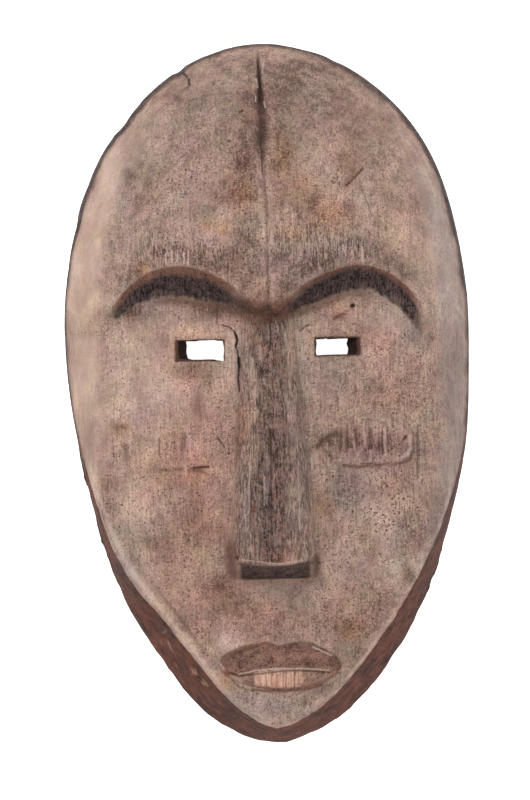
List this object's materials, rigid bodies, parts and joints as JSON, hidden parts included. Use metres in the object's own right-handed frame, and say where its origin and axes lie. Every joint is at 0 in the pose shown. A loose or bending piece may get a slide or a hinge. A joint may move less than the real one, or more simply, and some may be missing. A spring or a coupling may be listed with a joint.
{
  "type": "carved wooden face mask",
  "caption": "Carved, kaolin-whitened wooden spirit mask with domed forehead, arched brows, pierced eye slits, long wedge nose, small toothed mouth and hollow back.",
  "frame": {"origin": "middle of the outline in plan, on the plane of the back rim that the mask lies on", "axes": "+Z out of the face, +Y to the top of the forehead, +X to the right of somebody looking at the face"},
  "size_m": [0.2892, 0.5001, 0.1396],
  "materials": {
    "kaolin_wood": "matt, worn white clay over dark brown wood"
  },
  "bodies": {
    "root": {"mask": "kaolin_wood"}
  },
  "joints": []
}
